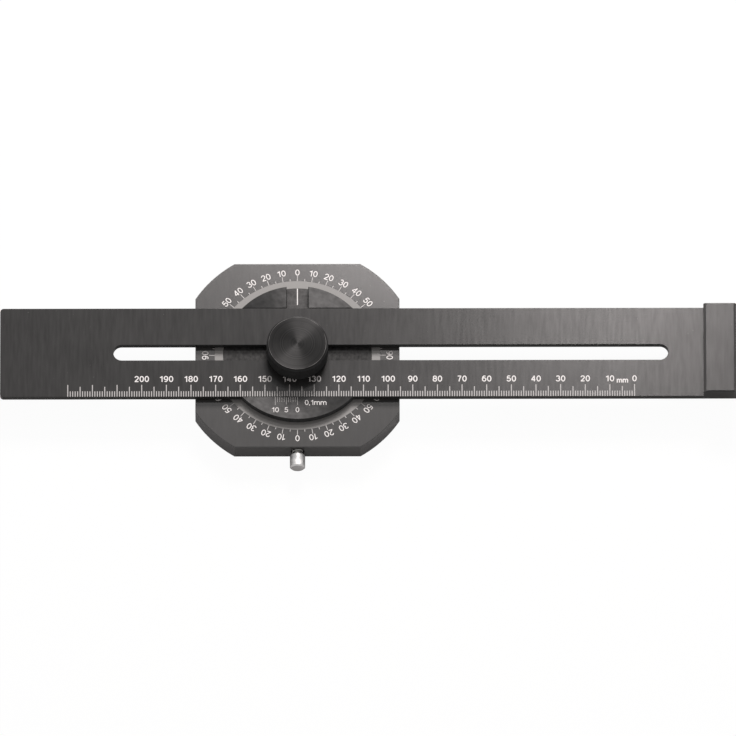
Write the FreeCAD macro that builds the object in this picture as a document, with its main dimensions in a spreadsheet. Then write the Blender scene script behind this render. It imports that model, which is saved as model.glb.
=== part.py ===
"""Angle marking gauge: a flat beam that slides in a swivel disc, on a stop plate with four flats.

The origin is on the swivel axis at the stop plate's underside. +Z is up and +X runs along the beam
to its marking end. The pieces stand as they do at angle 0 and a reading of 136.8 mm.
"""

import FreeCAD, Part
import math
import os

import Sketcher

document = FreeCAD.newDocument("angle_marking_gauge")
sheet = document.addObject("Spreadsheet::Sheet", "sizes")

DRIVING_SIZES = [
    # stop plate
    ("reading_at_rest", 136.8, "scale reading: marking end to the plate's right flat"),
    ("flat_wall", 7.75, "from the bearing ring out to a flat of the plate"),
    ("corner_rise", 7.25, "how far the plate's round corners stand out past its flats"),
    ("plate_thickness", 9.0, "thickness of the plate"),
    ("plate_edge", 0.3, "chamfer on the plate's edges"),
    ("seat_depth", 2.8, "from the plate's top down to the ledge that carries the disc"),
    ("ledge_width", 3.4, "how far the recess in the plate's underside lays the ledge bare"),
    ("recess_depth", 2.4, "depth of that recess"),
    ("bore_relief", 0.15, "how far the plate's bore stands back from the ring's bore"),
    # bearing ring and friction rings
    ("ring_width", 3.55, "from the bearing ring's bore to its outside"),
    ("ring_thickness", 1.0, "thickness of the bearing ring"),
    ("ring_edge", 0.1, "chamfer on the bearing ring's top edges"),
    ("friction_thickness", 0.4, "thickness of each friction ring"),
    ("friction_margin", 0.4, "how far a friction ring stays from the walls beside it"),
    # swivel disc
    ("disc_diameter", 60.2, "flange and segments of the disc"),
    ("disc_clearance", 0.05, "between disc and bearing ring, on the radius"),
    ("disc_edge", 0.15, "chamfer round the top of the segments"),
    ("window_edge", 0.2, "chamfer along the window and the rear side of the channel"),
    ("floor_lift", 0.1, "how far the channel's floor stands above the plate"),
    ("flange_overhang", 5.1, "how far the disc's flange stands out over its spigot"),
    ("spigot_clearance", 0.1, "between spigot and ledge, on the radius"),
    ("notch_width", 8.8, "window for the index line"),
    ("running_gap", 0.05, "film between flat faces that slide on each other"),
    # beam
    ("beam_length", 299.0, "length of the beam"),
    ("beam_width", 40.0, "width of the beam"),
    ("beam_thickness", 2.5, "thickness of the beam"),
    ("beam_corner", 1.5, "radius of the beam's two left corners"),
    ("edge_break", 0.15, "chamfer on the edges of the beam and of its slot"),
    ("channel_clearance", 0.05, "between beam and channel, on each side"),
    ("slot_length", 225.3, "length of the slot over its round ends"),
    ("slot_end_wall", 27.7, "from the slot's right end to the marking end"),
    # end block and its fasteners
    ("block_width", 13.4, "end block, along the beam"),
    ("block_height", 4.6, "end block, above the beam"),
    ("block_lead", 1.1, "chamfer on the end block's two long top edges"),
    ("block_side_edge", 0.4, "chamfer on its two short top edges"),
    ("screw_spacing", 28.0, "between the two screws of the end block"),
    ("screw_diameter", 2.5, "shank of those screws"),
    ("screw_length", 5.5, "length of those screws over the head"),
    ("screw_head", 4.7, "head diameter, countersunk at 90 degrees"),
    ("screw_slot_width", 0.6, "driver slot in the screw's head"),
    ("screw_slot_depth", 0.5, "depth of that slot"),
    ("screw_sink", 0.05, "how far a head stays below the beam's underside"),
    ("dowel_spacing", 14.0, "between the two dowels of the end block"),
    ("dowel_diameter", 2.0, "diameter of the dowels"),
    ("dowel_length", 5.0, "length of the dowels"),
    ("dowel_sink", 0.25, "how far a dowel stays above the beam's underside"),
    ("dowel_edge", 0.2, "chamfer on a dowel's ends"),
    ("hole_reserve", 0.4, "depth left past a screw's or dowel's end"),
    ("thread_clearance", 0.03, "between a threaded shank and its hole, on the radius"),
    # clamp under the disc
    ("stud_diameter", 6.0, "clamp stud"),
    ("flat_cut", 0.5, "how deep each of the two flats on the stud's neck is cut"),
    ("stud_clearance", 0.1, "between the neck and the holes that it keys, on each side"),
    ("stud_edge", 0.6, "chamfer on the stud's top end"),
    ("stud_head", 12.0, "diameter of the stud's head"),
    ("stud_head_height", 1.2, "height of the stud's head"),
    ("stud_head_lift", 0.7, "from the plate's underside up to the stud's head"),
    ("head_clearance", 0.3, "between head or hub and the pocket round it, on the radius"),
    ("clamp_thickness", 1.4, "flange of the clamp plate"),
    ("clamp_hub", 18.0, "diameter of the clamp plate's hub"),
    ("hub_roof", 1.4, "clamp plate left above its head pocket"),
    ("clamp_gap", 0.45, "between clamp plate and disc, so that only the ledge is gripped"),
    ("wave_height", 0.6, "wave washer, over its waves"),
    ("wave_thickness", 0.25, "strip that the wave washer is made of"),
    ("wave_count", 3, "waves round the wave washer"),
    ("wave_margin", 0.3, "from the wave washer's rim to that of the stud's head"),
    ("wave_play", 0.4, "between stud and wave washer, on the radius"),
    # clamp above the beam
    ("sleeve_wall", 0.37, "wall of the sleeve that runs in the beam's slot"),
    ("sleeve_clearance", 0.05, "between sleeve and slot, on the radius"),
    ("sleeve_low", 0.25, "how far the sleeve's top stays below the beam's top"),
    ("washer_diameter", 18.0, "captive washer under the knob"),
    ("washer_thickness", 1.0, "thickness of that washer"),
    ("washer_step", 0.5, "depth of the washer's pocket for the insert's lip"),
    ("insert_diameter", 9.5, "threaded insert in the knob"),
    ("insert_height", 6.0, "length of the insert inside the knob"),
    ("insert_neck", 8.0, "part of the insert that runs through the washer"),
    ("insert_lip", 10.0, "lip that keeps the washer on the insert"),
    ("insert_lip_height", 0.3, "height of that lip"),
    ("insert_clearance", 0.1, "between insert and washer, on the radius"),
    ("knob_diameter", 25.0, "clamp knob"),
    ("knob_rise", 8.5, "from the beam's top to the knob's top"),
    ("knob_gap", 0.3, "from the beam's top to the knob's underside"),
    ("knob_top_edge", 0.8, "chamfer round the knob's top"),
    ("knob_low_edge", 0.4, "chamfer round the knob's underside"),
    ("knob_pocket_clearance", 0.3, "between washer and knob, on the radius"),
    ("stud_end_room", 0.6, "from the stud's end to the end of the insert's hole"),
    # index pin
    ("index_hole", 5.4, "hole in the plate's front flat for the bush and the spring"),
    ("index_end_wall", 1.5, "plate left between that hole's end and the disc's bore"),
    ("index_mouth", 0.2, "chamfer at the hole's mouth"),
    ("nose_diameter", 2.4, "tip of the index pin"),
    ("nose_clearance", 0.1, "between that tip and its holes, on the radius"),
    ("nose_edge", 0.5, "chamfer on the tip"),
    ("tip_gap", 0.5, "from the tip at rest to the disc's spigot"),
    ("index_travel", 1.5, "how far the button is pushed in"),
    ("collar_clearance", 0.5, "between that hole and the collar of the pin, on the radius"),
    ("collar_length", 1.2, "length of that collar"),
    ("shaft_diameter", 3.0, "index pin inside its bush"),
    ("shaft_clearance", 0.05, "between pin and bush, on the radius"),
    ("bush_recess", 2.9, "from the plate's front flat in to the bush"),
    ("button_rim", 0.4, "how far the push button stands out over that hole, on the radius"),
    ("button_length", 5.6, "length of the button"),
    ("button_standoff", 1.8, "from the plate's front flat to the button at rest"),
    ("button_edge", 0.5, "chamfer on the button's outer end"),
    ("button_inner_edge", 0.2, "chamfer on the button's inner end"),
    ("button_pocket_depth", 2.2, "pocket in the button for the spring"),
    ("pin_grip", 1.8, "length of the pin inside the button's solid part"),
    ("spring_diameter", 4.4, "outer diameter of the index spring"),
    ("spring_wire", 0.4, "wire of that spring"),
    ("spring_turns", 5, "turns of that spring"),
    ("spring_room", 0.2, "between spring and button pocket, on the radius"),
    ("spring_seat_gap", 0.02, "between the spring's ends and their seats"),
    ("detent_count", 24, "index holes round the disc's spigot, one each 15 degrees"),
    ("detent_reserve", 0.5, "room left past the pin's tip in an index hole"),
]

DERIVED_SIZES = [
    # stop plate
    ("half_plate", "ring_radius + flat_wall"),
    ("corner_radius", "half_plate + corner_rise"),
    ("ledge_top", "plate_thickness - seat_depth"),
    ("ledge_radius", "spigot_radius + spigot_clearance"),
    ("recess_radius", "ledge_radius + ledge_width"),
    ("bore_radius", "ring_inner_radius + bore_relief"),
    # bearing ring and friction rings
    ("ring_seat", "plate_thickness - ring_thickness"),
    ("ring_radius", "ring_inner_radius + ring_width"),
    ("ring_inner_radius", "disc_radius + disc_clearance"),
    ("ring_edge_level", "plate_thickness - ring_edge"),
    ("ring_edge_inner", "ring_inner_radius + ring_edge"),
    ("ring_edge_outer", "ring_radius - ring_edge"),
    ("friction_inner", "ledge_radius + friction_margin"),
    ("upper_friction_outer", "bore_radius - friction_margin"),
    ("upper_friction_top", "ledge_top + friction_thickness"),
    ("lower_friction_outer", "recess_radius - friction_margin"),
    ("lower_friction_low", "recess_depth - friction_thickness"),
    # swivel disc
    ("disc_radius", "disc_diameter / 2"),
    ("spigot_radius", "disc_radius - flange_overhang"),
    ("flange_low", "upper_friction_top + running_gap"),
    ("channel_floor", "plate_thickness + floor_lift"),
    ("segment_top", "beam_top"),
    ("segment_edge_level", "segment_top - disc_edge"),
    ("segment_edge_radius", "disc_radius - disc_edge"),
    ("half_channel", "beam_width / 2 + channel_clearance"),
    ("half_notch", "notch_width / 2"),
    ("past_disc", "disc_radius + disc_edge"),
    ("spigot_low", "clamp_top + clamp_gap"),
    ("hub_pocket_radius", "clamp_hub / 2 + head_clearance"),
    ("hub_pocket_roof", "hub_top + clamp_gap"),
    # beam
    ("half_beam", "beam_width / 2"),
    ("beam_low", "channel_floor + running_gap"),
    ("beam_top", "beam_low + beam_thickness"),
    ("marking_end", "reading_at_rest + half_plate"),
    ("beam_left", "marking_end - beam_length"),
    ("slot_radius", "sleeve_radius + sleeve_clearance"),
    ("slot_right_centre", "marking_end - slot_end_wall - slot_radius"),
    ("slot_left_centre", "marking_end - slot_end_wall - slot_length + slot_radius"),
    # end block and its fasteners
    ("block_left", "marking_end - block_width"),
    ("block_top", "beam_top + block_height"),
    ("block_lead_level", "block_top - block_lead"),
    ("block_lead_left", "block_left + block_lead"),
    ("block_lead_right", "marking_end - block_lead"),
    ("fastener_line", "marking_end - block_width / 2"),
    ("screw_side", "screw_spacing / 2"),
    ("screw_radius", "screw_diameter / 2"),
    ("screw_head_radius", "screw_head / 2"),
    ("screw_low", "beam_low + screw_sink"),
    ("screw_neck", "screw_low + screw_head_radius - screw_radius"),
    ("screw_end", "screw_low + screw_length"),
    ("screw_tip_radius", "screw_radius - hole_reserve"),
    ("screw_tip_level", "screw_end - hole_reserve"),
    ("screw_hole_radius", "screw_radius + thread_clearance"),
    ("screw_hole_end", "screw_end + hole_reserve"),
    ("sink_radius", "screw_head_radius + screw_sink + thread_clearance"),
    ("sink_neck", "beam_low + sink_radius - screw_hole_radius"),
    ("screw_slot_top", "screw_low + screw_slot_depth"),
    ("half_screw_slot", "screw_slot_width / 2"),
    ("dowel_side", "dowel_spacing / 2"),
    ("dowel_radius", "dowel_diameter / 2"),
    ("dowel_low", "beam_low + dowel_sink"),
    ("dowel_end", "dowel_low + dowel_length"),
    ("dowel_edge_radius", "dowel_radius - dowel_edge"),
    ("dowel_low_edge", "dowel_low + dowel_edge"),
    ("dowel_end_edge", "dowel_end - dowel_edge"),
    ("dowel_hole_end", "dowel_end + hole_reserve"),
    # clamp under the disc
    ("stud_radius", "stud_diameter / 2"),
    ("half_flats", "stud_radius - flat_cut"),
    ("key_radius", "stud_radius + stud_clearance"),
    ("half_key", "half_flats + stud_clearance"),
    ("stud_head_radius", "stud_head / 2"),
    ("stud_head_top", "stud_head_lift + stud_head_height"),
    ("stud_neck_top", "channel_floor + running_gap"),
    ("stud_neck_length", "stud_neck_top - stud_head_top"),
    ("stud_end", "insert_top - stud_end_room"),
    ("stud_end_edge", "stud_end - stud_edge"),
    ("stud_end_radius", "stud_radius - stud_edge"),
    ("head_pocket_radius", "stud_head_radius + head_clearance"),
    ("head_pocket_roof", "stud_head_top + wave_height + running_gap"),
    ("clamp_radius", "recess_radius - friction_margin"),
    ("clamp_top", "lower_friction_low - running_gap"),
    ("clamp_low", "clamp_top - clamp_thickness"),
    ("hub_radius", "clamp_hub / 2"),
    ("hub_top", "head_pocket_roof + hub_roof"),
    ("wave_outer", "stud_head_radius - wave_margin"),
    ("wave_inner", "stud_radius + wave_play"),
    # clamp above the beam
    ("sleeve_bore", "stud_radius + thread_clearance"),
    ("sleeve_radius", "sleeve_bore + sleeve_wall"),
    ("sleeve_top", "beam_top - sleeve_low"),
    ("washer_radius", "washer_diameter / 2"),
    ("washer_low", "beam_top + running_gap"),
    ("washer_top", "washer_low + washer_thickness"),
    ("washer_bore", "insert_neck_radius + insert_clearance"),
    ("washer_step_radius", "insert_lip_radius + insert_clearance"),
    ("washer_step_level", "washer_low + washer_step"),
    ("insert_radius", "insert_diameter / 2"),
    ("insert_neck_radius", "insert_neck / 2"),
    ("insert_lip_radius", "insert_lip / 2"),
    ("insert_bore", "stud_radius + thread_clearance"),
    ("insert_seat", "washer_top + running_gap"),
    ("insert_top", "insert_seat + insert_height"),
    ("insert_lip_top", "washer_step_level - running_gap"),
    ("insert_low", "insert_lip_top - insert_lip_height"),
    ("knob_radius", "knob_diameter / 2"),
    ("knob_low", "beam_top + knob_gap"),
    ("knob_top", "beam_top + knob_rise"),
    ("knob_pocket_radius", "washer_radius + knob_pocket_clearance"),
    ("knob_top_edge_level", "knob_top - knob_top_edge"),
    ("knob_top_edge_radius", "knob_radius - knob_top_edge"),
    ("knob_low_edge_level", "knob_low + knob_low_edge"),
    ("knob_low_edge_radius", "knob_radius - knob_low_edge"),
    # index pin, as distances in front of the swivel axis
    ("pin_level", "plate_thickness / 2"),
    ("index_hole_radius", "index_hole / 2"),
    ("index_hole_end", "bore_radius + index_end_wall"),
    ("index_mouth_radius", "index_hole_radius + index_mouth"),
    ("index_mouth_end", "half_plate - index_mouth"),
    ("nose_radius", "nose_diameter / 2"),
    ("nose_hole_radius", "nose_radius + nose_clearance"),
    ("nose_hole_end", "ledge_radius - nose_hole_radius"),
    ("nose_tip", "spigot_radius + tip_gap"),
    ("nose_edge_end", "nose_tip + nose_edge"),
    ("nose_edge_radius", "nose_radius - nose_edge"),
    ("collar_inner", "index_hole_end + index_travel + running_gap"),
    ("collar_outer", "collar_inner + collar_length"),
    ("collar_radius", "index_hole_radius - collar_clearance"),
    ("shaft_radius", "shaft_diameter / 2"),
    ("bush_inner", "collar_outer + running_gap"),
    ("bush_outer", "half_plate - bush_recess"),
    ("bush_bore", "shaft_radius + shaft_clearance"),
    ("button_radius", "index_hole_radius + button_rim"),
    ("button_inner", "half_plate + button_standoff"),
    ("button_outer", "button_inner + button_length"),
    ("button_edge_end", "button_outer - button_edge"),
    ("button_edge_radius", "button_radius - button_edge"),
    ("button_inner_end", "button_inner + button_inner_edge"),
    ("button_inner_radius", "button_radius - button_inner_edge"),
    ("button_pocket_end", "button_inner + button_pocket_depth"),
    ("button_pocket_radius", "spring_diameter / 2 + spring_room"),
    ("pin_end", "button_pocket_end + pin_grip"),
    ("spring_radius", "(spring_diameter - spring_wire) / 2"),
    ("wire_radius", "spring_wire / 2"),
    ("spring_first", "bush_outer + spring_seat_gap + wire_radius"),
    ("spring_span", "button_pocket_end - spring_seat_gap - wire_radius - spring_first"),
    ("detent_bottom", "nose_tip - index_travel - detent_reserve"),
    ("detent_point", "detent_bottom - nose_hole_radius / 2"),
    ("detent_mouth", "spigot_radius + nose_hole_radius"),
]


def fill_sheet():
    """Write every driving size and every worked-out size into its own named cell."""
    row = 1
    for name, size, meaning in DRIVING_SIZES:
        sheet.set(f"A{row}", name)
        sheet.set(f"B{row}", str(size))
        sheet.set(f"C{row}", meaning)
        sheet.setAlias(f"B{row}", name)
        row += 1
    for name, formula in DERIVED_SIZES:
        sheet.set(f"A{row}", name)
        sheet.setAlias(f"B{row}", name)
        row += 1
    row -= len(DERIVED_SIZES)
    for name, formula in DERIVED_SIZES:
        sheet.set(f"B{row}", "=" + formula)
        row += 1
    document.recompute()


def size(name):
    """The number behind a cell's name, a name with a minus sign, or 0."""
    if name == "0":
        return 0.0
    if name.startswith("-"):
        return -size(name[1:])
    return float(sheet.get(name))


def link(name):
    """The expression that ties a property to a cell."""
    if name.startswith("-"):
        return "-sizes." + name[1:]
    return "sizes." + name


def new_body(name):
    body = document.addObject("PartDesign::Body", name)
    body.Label = name
    return body


def origin_feature(body, role):
    for feature in body.Origin.OriginFeatures:
        if feature.Role == role:
            return feature
    raise ValueError(role)


def new_sketch(body, name, role, shift=None):
    """A sketch on one of the body's own planes, shifted along the plane's x, y or z by named sizes."""
    sketch = body.newObject("Sketcher::SketchObject", name)
    sketch.AttachmentSupport = [(origin_feature(body, role), "")]
    sketch.MapMode = "FlatFace"
    for axis, cell in (shift or {}).items():
        sketch.setExpression(f"AttachmentOffset.Base.{axis}", link(cell))
    return sketch


def pin_point(sketch, geometry, point, x_name, y_name):
    """Hold one point of a sketch at named coordinates."""
    for kind, name, axis in (("DistanceX", x_name, -2), ("DistanceY", y_name, -1)):
        if name == "0":
            sketch.addConstraint(Sketcher.Constraint("PointOnObject", geometry, point, axis))
            continue
        number = sketch.addConstraint(Sketcher.Constraint(kind, -1, 1, geometry, point, size(name)))
        sketch.setExpression(f"Constraints[{number}]", link(name))


def hold_radius(sketch, geometry, name):
    number = sketch.addConstraint(Sketcher.Constraint("Radius", geometry, size(name)))
    sketch.setExpression(f"Constraints[{number}]", link(name))


def draw_outline(sketch, points):
    """A closed outline of straight lines through points given by their cells' names."""
    places = [FreeCAD.Vector(size(x), size(y), 0) for x, y in points]
    first = sketch.GeometryCount
    count = len(places)
    for start, end in zip(places, places[1:] + places[:1]):
        sketch.addGeometry(Part.LineSegment(start, end), False)
    for step in range(count):
        following = first + (step + 1) % count
        sketch.addConstraint(Sketcher.Constraint("Coincident", first + step, 2, following, 1))
    for step, (x_name, y_name) in enumerate(points):
        pin_point(sketch, first + step, 1, x_name, y_name)


def draw_octagon(sketch, radius_name, x_name, y_name):
    """A regular octagon inside a named circle, which keeps a coil of round wire light."""
    sides = 8
    middle = FreeCAD.Vector(size(x_name), size(y_name), 0)
    radius = size(radius_name)
    circle = sketch.addGeometry(Part.Circle(middle, FreeCAD.Vector(0, 0, 1), radius), True)
    pin_point(sketch, circle, 3, x_name, y_name)
    hold_radius(sketch, circle, radius_name)
    corners = []
    for step in range(sides):
        turn_to = 2 * math.pi * (step - 0.5) / sides
        corners.append(middle + FreeCAD.Vector(radius * math.cos(turn_to), radius * math.sin(turn_to), 0))
    lines = [
        sketch.addGeometry(Part.LineSegment(start, end), False)
        for start, end in zip(corners, corners[1:] + corners[:1])
    ]
    for line, following in zip(lines, lines[1:] + lines[:1]):
        sketch.addConstraint(Sketcher.Constraint("Coincident", line, 2, following, 1))
        sketch.addConstraint(Sketcher.Constraint("PointOnObject", line, 1, circle))
    for line in lines[1:]:
        sketch.addConstraint(Sketcher.Constraint("Equal", lines[0], line))
    sketch.addConstraint(Sketcher.Constraint("Vertical", lines[0]))


def draw_flatted_circle(sketch, radius_name, half_name, flats):
    """A circle round the origin with two or four flats, which lie half_name from the centre."""
    radius = size(radius_name)
    half = size(half_name)
    half_chord = math.asin(half / radius) if flats == 2 else math.acos(half / radius)
    turn = 2 * math.pi / flats
    arcs = []
    lines = []
    for step in range(flats):
        middle = step * turn + (0 if flats == 2 else turn / 2)
        reach = half_chord if flats == 2 else turn / 2 - half_chord
        circle = Part.Circle(FreeCAD.Vector(0, 0, 0), FreeCAD.Vector(0, 0, 1), radius)
        arc = Part.ArcOfCircle(circle, middle - reach, middle + reach)
        arcs.append(sketch.addGeometry(arc, False))
        if step:
            sketch.addConstraint(Sketcher.Constraint("Equal", arcs[0], arcs[-1]))
        sketch.addConstraint(Sketcher.Constraint("Coincident", arcs[-1], 3, -1, 1))
    hold_radius(sketch, arcs[0], radius_name)
    for step in range(flats):
        following = (step + 1) % flats
        start = sketch.getPoint(arcs[step], 2)
        end = sketch.getPoint(arcs[following], 1)
        line = sketch.addGeometry(Part.LineSegment(start, end), False)
        sketch.addConstraint(Sketcher.Constraint("Coincident", arcs[step], 2, line, 1))
        sketch.addConstraint(Sketcher.Constraint("Coincident", line, 2, arcs[following], 1))
        level = abs(start.y - end.y) < abs(start.x - end.x)
        side = start.y if level else start.x
        sketch.addConstraint(Sketcher.Constraint("Horizontal" if level else "Vertical", line))
        kind = "DistanceY" if level else "DistanceX"
        number = sketch.addConstraint(Sketcher.Constraint(kind, -1, 1, line, 1, side))
        sketch.setExpression(f"Constraints[{number}]", link(half_name if side > 0 else "-" + half_name))
        lines.append(line)


def draw_slot(sketch, left_name, right_name, radius_name):
    """A slot on the sketch's x axis between two named centres."""
    left = size(left_name)
    right = size(right_name)
    radius = size(radius_name)
    up = FreeCAD.Vector(0, 0, 1)
    quarter = math.pi / 2
    right_arc = Part.ArcOfCircle(Part.Circle(FreeCAD.Vector(right, 0, 0), up, radius), -quarter, quarter)
    left_arc = Part.ArcOfCircle(Part.Circle(FreeCAD.Vector(left, 0, 0), up, radius), quarter, 3 * quarter)
    top = Part.LineSegment(FreeCAD.Vector(right, radius, 0), FreeCAD.Vector(left, radius, 0))
    low = Part.LineSegment(FreeCAD.Vector(left, -radius, 0), FreeCAD.Vector(right, -radius, 0))
    pieces = [sketch.addGeometry(piece, False) for piece in (right_arc, top, left_arc, low)]
    for step in range(4):
        following = pieces[(step + 1) % 4]
        sketch.addConstraint(Sketcher.Constraint("Tangent", pieces[step], 2, following, 1))
    sketch.addConstraint(Sketcher.Constraint("Equal", pieces[0], pieces[2]))
    pin_point(sketch, pieces[0], 3, right_name, "0")
    pin_point(sketch, pieces[2], 3, left_name, "0")
    hold_radius(sketch, pieces[0], radius_name)


def pad(body, name, sketch, length_name, midplane=False):
    feature = body.newObject("PartDesign::Pad", name)
    feature.Profile = sketch
    feature.Midplane = midplane
    feature.setExpression("Length", link(length_name))
    body.Tip = feature
    return feature


def pocket_up(body, name, sketch, length_name=None):
    """Cut from the sketch upwards, through everything or for a named length."""
    feature = body.newObject("PartDesign::Pocket", name)
    feature.Profile = sketch
    feature.Reversed = True
    if length_name is None:
        feature.Type = "ThroughAll"
    else:
        feature.setExpression("Length", link(length_name))
    body.Tip = feature
    return feature


def turn(body, name, kind, role, points, axis, shift=None):
    """Turn a closed outline about the sketch's own x or y axis, to add (Revolution) or cut (Groove)."""
    sketch = new_sketch(body, name + "_outline", role, shift)
    draw_outline(sketch, points)
    feature = body.newObject("PartDesign::" + kind, name)
    feature.Profile = sketch
    feature.ReferenceAxis = (sketch, [axis])
    feature.Angle = 360
    body.Tip = feature
    return feature


def turned_upright(name, points):
    """A body turned about the swivel axis, from an outline in the XZ plane."""
    body = new_body(name)
    turn(body, name + "_turned", "Revolution", "XZ_Plane", points, "V_Axis")
    return body


def turned_along_pin(name, points):
    """A body turned about the index pin's axis. The outline's x is Y, so what is in front is negative."""
    body = new_body(name)
    turn(body, name + "_turned", "Revolution", "YZ_Plane", points, "H_Axis", {"y": "pin_level"})
    return body


def break_edges(body, name, base, size_name, wanted):
    """Chamfer those edges of a feature that the test picks."""
    document.recompute()
    picked = [f"Edge{number}" for number, edge in enumerate(base.Shape.Edges, 1) if wanted(edge)]
    if not picked:
        raise ValueError("no edge found for " + name)
    feature = body.newObject("PartDesign::Chamfer", name)
    feature.Base = (base, picked)
    feature.setExpression("Size", link(size_name))
    body.Tip = feature
    return feature


def at_level(edge, level):
    box = edge.BoundBox
    return abs(box.ZMin - level) < 1e-6 and abs(box.ZMax - level) < 1e-6


def mirror_to_back(body, name, originals):
    """Repeat features on the other side of the beam's centre plane."""
    feature = body.newObject("PartDesign::Mirrored", name)
    feature.Originals = originals
    feature.MirrorPlane = (origin_feature(body, "XZ_Plane"), [""])
    body.Tip = feature
    return feature


def in_front(*names):
    """Names of distances in front of the axis, as negative coordinates."""
    return ["-" + name for name in names]


def make_stop_plate():
    body = new_body("stop_plate")
    outline = new_sketch(body, "plate_outline", "XY_Plane")
    draw_flatted_circle(outline, "corner_radius", "half_plate", 4)
    blank = pad(body, "plate_blank", outline, "plate_thickness")
    break_edges(body, "plate_edges", blank, "plate_edge", lambda edge: edge.BoundBox.ZLength < 1e-6)
    turn(body, "stepped_bore", "Groove", "XZ_Plane", [
        ("0", "0"),
        ("recess_radius", "0"),
        ("recess_radius", "recess_depth"),
        ("ledge_radius", "recess_depth"),
        ("ledge_radius", "ledge_top"),
        ("bore_radius", "ledge_top"),
        ("bore_radius", "ring_seat"),
        ("ring_radius", "ring_seat"),
        ("ring_radius", "plate_thickness"),
        ("0", "plate_thickness"),
    ], "V_Axis")
    face, mouth, hole_end, nose_end = in_front(
        "half_plate", "index_mouth_end", "index_hole_end", "nose_hole_end")
    turn(body, "index_hole", "Groove", "YZ_Plane", [
        (face, "0"),
        (face, "index_mouth_radius"),
        (mouth, "index_hole_radius"),
        (hole_end, "index_hole_radius"),
        (hole_end, "nose_hole_radius"),
        (nose_end, "nose_hole_radius"),
        (nose_end, "0"),
    ], "H_Axis", {"y": "pin_level"})
    return body


def make_bearing_ring():
    return turned_upright("bearing_ring", [
        ("ring_inner_radius", "ring_seat"),
        ("ring_radius", "ring_seat"),
        ("ring_radius", "ring_edge_level"),
        ("ring_edge_outer", "plate_thickness"),
        ("ring_edge_inner", "plate_thickness"),
        ("ring_inner_radius", "ring_edge_level"),
    ])


def make_friction_ring(name, outer, low, top):
    return turned_upright(name, [
        ("friction_inner", low),
        (outer, low),
        (outer, top),
        ("friction_inner", top),
    ])


def make_swivel_disc():
    body = turned_upright("swivel_disc", [
        ("0", "hub_pocket_roof"),
        ("hub_pocket_radius", "hub_pocket_roof"),
        ("hub_pocket_radius", "spigot_low"),
        ("spigot_radius", "spigot_low"),
        ("spigot_radius", "flange_low"),
        ("disc_radius", "flange_low"),
        ("disc_radius", "segment_edge_level"),
        ("segment_edge_radius", "segment_top"),
        ("0", "segment_top"),
    ])
    channel = new_sketch(body, "channel_outline", "XY_Plane", {"z": "channel_floor"})
    draw_outline(channel, [
        ("-past_disc", "-half_channel"),
        ("past_disc", "-half_channel"),
        ("past_disc", "half_channel"),
        ("-past_disc", "half_channel"),
    ])
    pocket_up(body, "beam_channel", channel)
    notch = new_sketch(body, "notch_outline", "XY_Plane", {"z": "channel_floor"})
    draw_outline(notch, [
        ("-half_notch", "half_beam"),
        ("half_notch", "half_beam"),
        ("half_notch", "past_disc"),
        ("-half_notch", "past_disc"),
    ])
    window = pocket_up(body, "index_window", notch)

    def is_window_edge(edge):
        straight = isinstance(edge.Curve, Part.Line)
        return straight and at_level(edge, size("segment_top")) and edge.BoundBox.YMin > 0

    break_edges(body, "window_edges", window, "window_edge", is_window_edge)
    keyway = new_sketch(body, "keyway_outline", "XY_Plane")
    draw_flatted_circle(keyway, "key_radius", "half_key", 2)
    pocket_up(body, "keyway", keyway)
    bottom, point, mouth = in_front("detent_bottom", "detent_point", "detent_mouth")
    detent = turn(body, "detent", "Groove", "YZ_Plane", [
        (mouth, "0"),
        (mouth, "nose_hole_radius"),
        (bottom, "nose_hole_radius"),
        (point, "0"),
    ], "H_Axis", {"y": "pin_level"})
    ring_of_detents = body.newObject("PartDesign::PolarPattern", "ring_of_detents")
    ring_of_detents.Originals = [detent]
    ring_of_detents.Axis = (origin_feature(body, "Z_Axis"), [""])
    ring_of_detents.Angle = 360
    ring_of_detents.setExpression("Occurrences", link("detent_count"))
    body.Tip = ring_of_detents
    return body


def make_clamp_stud():
    body = turned_upright("clamp_stud", [
        ("0", "stud_head_lift"),
        ("stud_head_radius", "stud_head_lift"),
        ("stud_head_radius", "stud_head_top"),
        ("stud_radius", "stud_head_top"),
        ("stud_radius", "stud_end_edge"),
        ("stud_end_radius", "stud_end"),
        ("0", "stud_end"),
    ])
    flats = new_sketch(body, "neck_flats_outline", "XY_Plane", {"z": "stud_head_top"})
    for side in ("", "-"):
        draw_outline(flats, [
            ("-stud_head_radius", side + "half_flats"),
            ("stud_head_radius", side + "half_flats"),
            ("stud_head_radius", side + "stud_head_radius"),
            ("-stud_head_radius", side + "stud_head_radius"),
        ])
    pocket_up(body, "neck_flats", flats, "stud_neck_length")
    return body


def make_clamp_plate():
    body = turned_upright("clamp_plate", [
        ("0", "head_pocket_roof"),
        ("head_pocket_radius", "head_pocket_roof"),
        ("head_pocket_radius", "clamp_low"),
        ("clamp_radius", "clamp_low"),
        ("clamp_radius", "clamp_top"),
        ("hub_radius", "clamp_top"),
        ("hub_radius", "hub_top"),
        ("0", "hub_top"),
    ])
    keyway = new_sketch(body, "keyway_outline", "XY_Plane")
    draw_flatted_circle(keyway, "key_radius", "half_key", 2)
    pocket_up(body, "keyway", keyway)
    return body


def wave_curve(radius, level, swing, waves):
    """A closed smooth curve round the swivel axis that rises and falls."""
    points = []
    count = int(8 * waves)
    for step in range(count):
        angle = 2 * math.pi * step / count
        height = level + swing * math.cos(waves * angle)
        points.append(FreeCAD.Vector(radius * math.cos(angle), radius * math.sin(angle), height))
    curve = Part.BSplineCurve()
    curve.interpolate(points, PeriodicFlag=True)
    return curve.toShape()


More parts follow.
